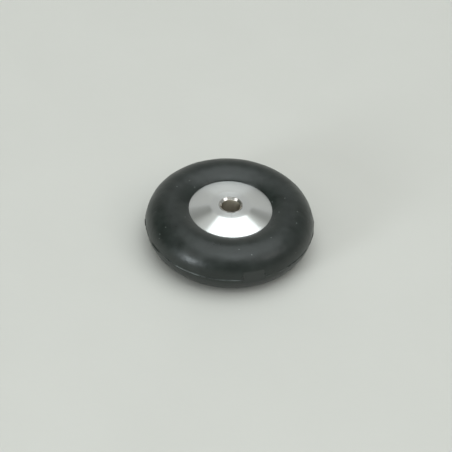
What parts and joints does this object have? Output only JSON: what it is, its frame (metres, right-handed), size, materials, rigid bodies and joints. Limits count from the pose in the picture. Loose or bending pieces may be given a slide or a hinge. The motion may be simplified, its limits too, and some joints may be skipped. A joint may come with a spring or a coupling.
{
  "type": "tailwheel",
  "caption": "Small model-aircraft tailwheel: a solid round-section rubber tyre clamped between turned aluminium hub halves that spin on a captive axle bush.",
  "frame": {"origin": "centre of the axle bore, on the wheel's mid-plane", "axes": "+Z along the axle towards the front hub half, which is the face the picture shows; X and Y lie in the wheel's mid-plane; the wheel lies on its side, as pictured"},
  "size_m": [0.0252, 0.0252, 0.0074],
  "materials": {
    "tyre_rubber": "moulded black rubber, dull with a soft sheen",
    "hub_aluminium": "turned and polished, bare",
    "bush_metal": "bright at the countersunk ends, oil-darkened brown in the bore"
  },
  "bodies": {
    "bush": {"axle_bush": "bush_metal"},
    "wheel": {"tyre": "tyre_rubber", "front_hub_half": "hub_aluminium", "rear_hub_half": "hub_aluminium"}
  },
  "joints": [
    {"name": "wheel_spin", "type": "hinge", "parent": "bush", "child": "wheel", "pos_m": [0, 0, 0], "axis": [0, 0, 1], "continuous": true}
  ]
}
